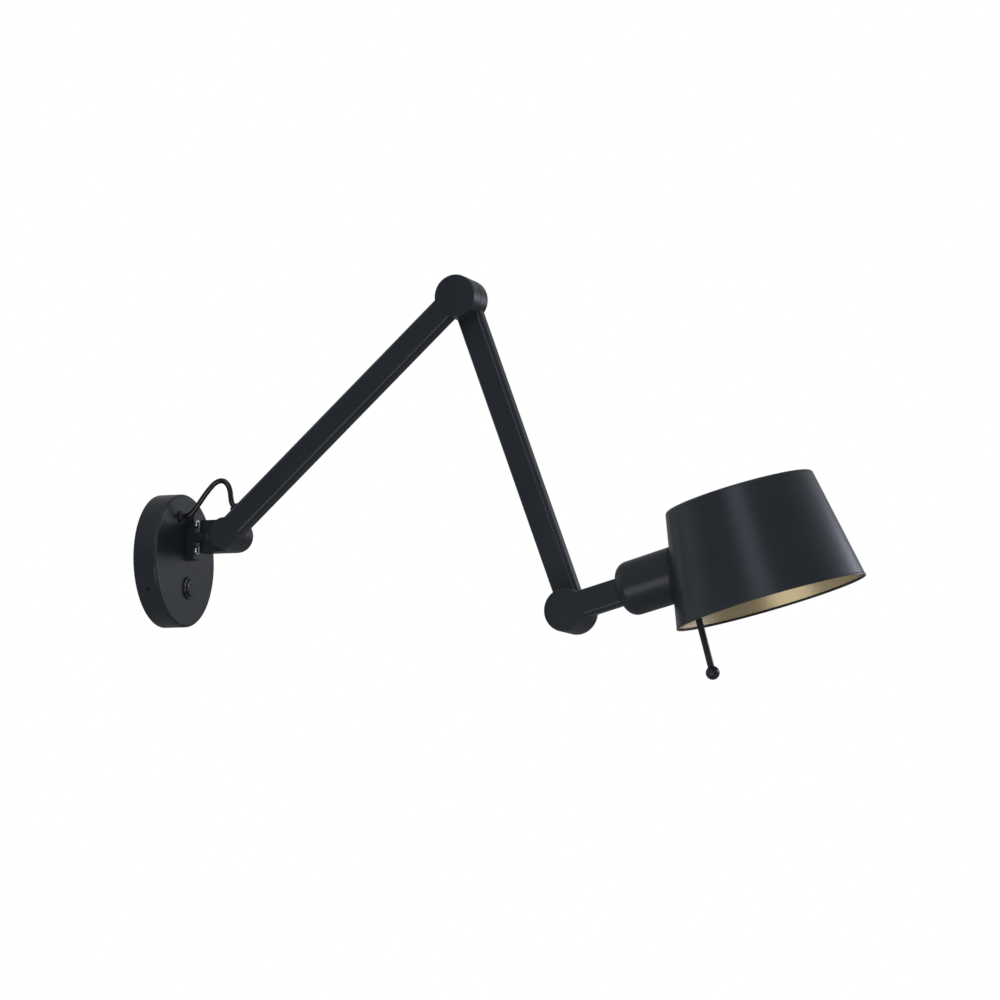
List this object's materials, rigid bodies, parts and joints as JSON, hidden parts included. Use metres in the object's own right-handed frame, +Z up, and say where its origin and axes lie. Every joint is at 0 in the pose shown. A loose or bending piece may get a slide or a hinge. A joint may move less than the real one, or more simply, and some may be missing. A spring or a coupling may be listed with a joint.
{
  "type": "articulating wall lamp",
  "caption": "Wall lamp with a round canopy, upright swivel, two friction-jointed arms and a conical metal shade that tilts and turns on a round-backed cup.",
  "frame": {"origin": "centre of the canopy on the wall plane, midway between the two wall screws", "axes": "+X out of the wall, +Z up, +Y along the wall; the arms move in planes parallel to XZ when the swivel is at rest"},
  "size_m": [0.658, 0.1662, 0.3624],
  "materials": {
    "black_paint": "satin",
    "shade_paint": "satin",
    "zinc_steel": "satin",
    "dark_steel": "satin",
    "nickel": "polished",
    "brass": "satin",
    "gloss_black": "gloss",
    "matte_black": "matte",
    "white_plastic": "matte",
    "nylon": "matte",
    "rubber_black": "matte",
    "cord_black": "gloss"
  },
  "bodies": {
    "wall_plate": {"canopy": "black_paint", "mounting_bracket": "zinc_steel", "canopy_grub_screws": "dark_steel", "terminal_block": "white_plastic", "terminal_clamps": "brass", "terminal_screws": "zinc_steel", "earth_screw": "zinc_steel", "switch_bezel": "gloss_black", "switch_nut": "zinc_steel", "switch_body": "matte_black", "switch_spring": "zinc_steel", "swivel_base": "black_paint", "swivel_base_screws": "zinc_steel", "swivel_backing_plate": "zinc_steel", "cable_gland": "matte_black", "gland_nut": "matte_black", "canopy_lead": "cord_black", "jumper_cable": "cord_black"},
    "button": {"switch_button": "gloss_black"},
    "yoke": {"swivel_yoke": "black_paint", "swivel_pin": "dark_steel", "swivel_washers": "nylon", "wall_pivot_cap": "black_paint"},
    "first_arm": {"arm_1": "black_paint", "arm_1_grommet": "rubber_black", "arm_1_lead": "cord_black", "wall_pivot_bolt": "zinc_steel", "wall_pivot_friction_washer": "nylon", "wall_pivot_spring_washer": "zinc_steel", "elbow_bolt": "zinc_steel", "elbow_friction_washer": "nylon", "elbow_spring_washer": "zinc_steel"},
    "second_arm": {"arm_2": "black_paint", "arm_2_lead": "cord_black", "elbow_cap": "black_paint", "head_pivot_cap": "black_paint"},
    "stub": {"head_stub": "black_paint", "head_lead": "cord_black", "head_pivot_bolt": "zinc_steel", "head_pivot_friction_washer": "nylon", "head_pivot_spring_washer": "zinc_steel"},
    "head": {"cup_nipple": "zinc_steel", "nipple_nut": "zinc_steel", "nipple_spring_washer": "zinc_steel", "turn_washer": "nylon", "lamp_cup": "black_paint", "cup_nut": "zinc_steel", "shade": "shade_paint", "shade_gasket": "rubber_black", "shade_spacer": "matte_black", "shade_ring": "matte_black", "lampholder_body": "matte_black", "lampholder_shell": "nickel", "lampholder_contacts": "brass", "handle_rod": "black_paint", "handle_ball": "black_paint"}
  },
  "joints": [
    {"name": "switch_press", "type": "slide", "parent": "wall_plate", "child": "button", "axis": [-1, 0, 0], "range_m": [0, 0.002], "stiffness_N_per_m": 600, "springref_m": -0.003, "deforming": ["switch_spring"]},
    {"name": "swivel", "type": "hinge", "parent": "wall_plate", "child": "yoke", "pos_m": [0.0405, 0.0084, 0.0219], "axis": [0, 0, 1], "range_deg": [-50, 85], "deforming": ["jumper_cable"]},
    {"name": "wall_pivot", "type": "hinge", "parent": "yoke", "child": "first_arm", "pos_m": [0.0671, 0, 0.0219], "axis": [0, -1, 0], "range_deg": [-60, 40], "deforming": ["jumper_cable"]},
    {"name": "elbow", "type": "hinge", "parent": "first_arm", "child": "second_arm", "pos_m": [0.28811, 0, 0.22477], "axis": [0, -1, 0], "range_deg": [-25, 105]},
    {"name": "head_tilt", "type": "hinge", "parent": "second_arm", "child": "stub", "pos_m": [0.39425, 0, -0.05583], "axis": [0, -1, 0], "range_deg": [-75, 45]},
    {"name": "head_turn", "type": "hinge", "parent": "stub", "child": "head", "pos_m": [0.39397, -0.009, -0.05483], "axis": [0.964, 0, 0.2657], "range_deg": [-96, 84]}
  ]
}
